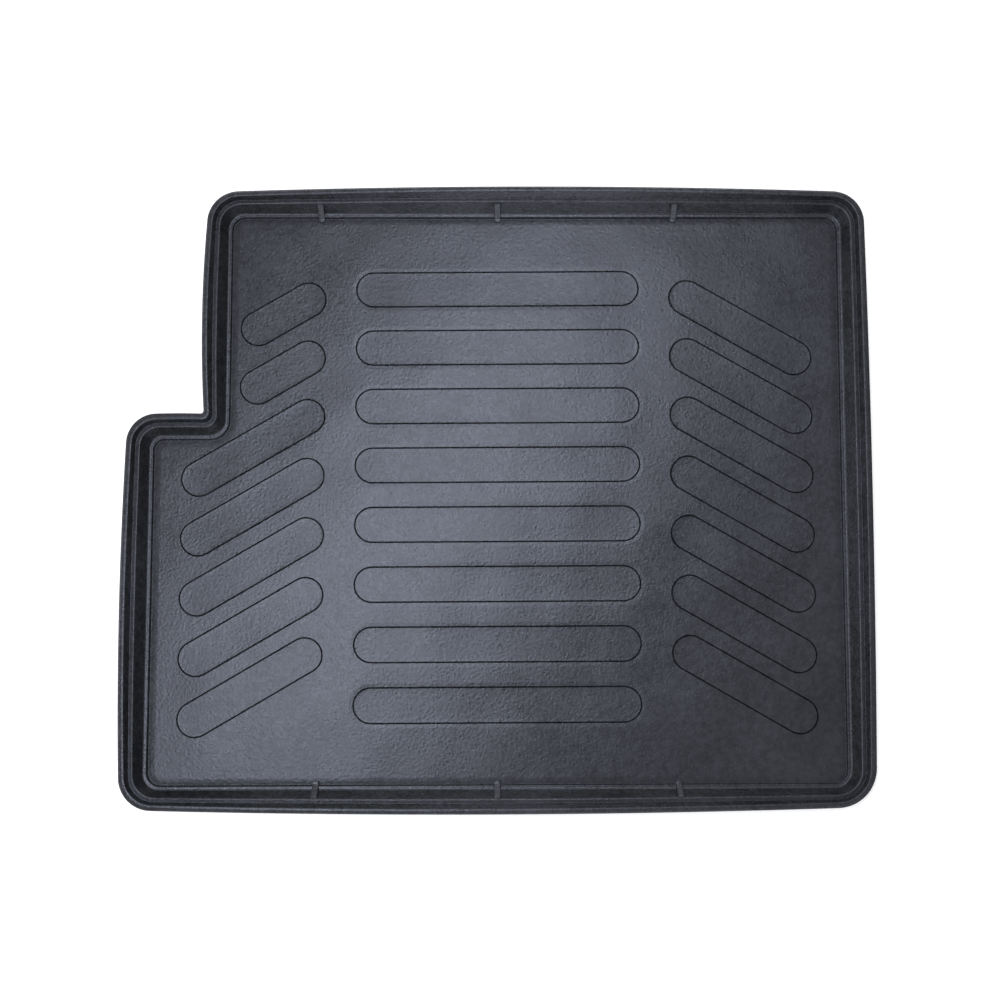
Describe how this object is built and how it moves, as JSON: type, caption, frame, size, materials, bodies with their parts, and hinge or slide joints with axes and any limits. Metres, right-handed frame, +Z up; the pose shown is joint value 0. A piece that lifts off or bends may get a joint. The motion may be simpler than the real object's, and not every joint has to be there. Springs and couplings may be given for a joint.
{
  "type": "car boot liner",
  "caption": "Shallow rubber tray for the load floor of a car boot, with a stepped rim, a notched corner and engraved grip pads.",
  "frame": {"origin": "middle of the liner's overall outline, on the plane that the underside of its floor rests on", "axes": "+X to the right along the long sides, +Y to the far side with the notch at its left, +Z up out of the tray"},
  "size_m": [1.041, 0.8744, 0.0385],
  "materials": {
    "liner_rubber": "satin black rubber with a fine leathery grain, slightly blue-grey in the light"
  },
  "bodies": {
    "root": {"boot_liner": "liner_rubber"}
  },
  "joints": []
}
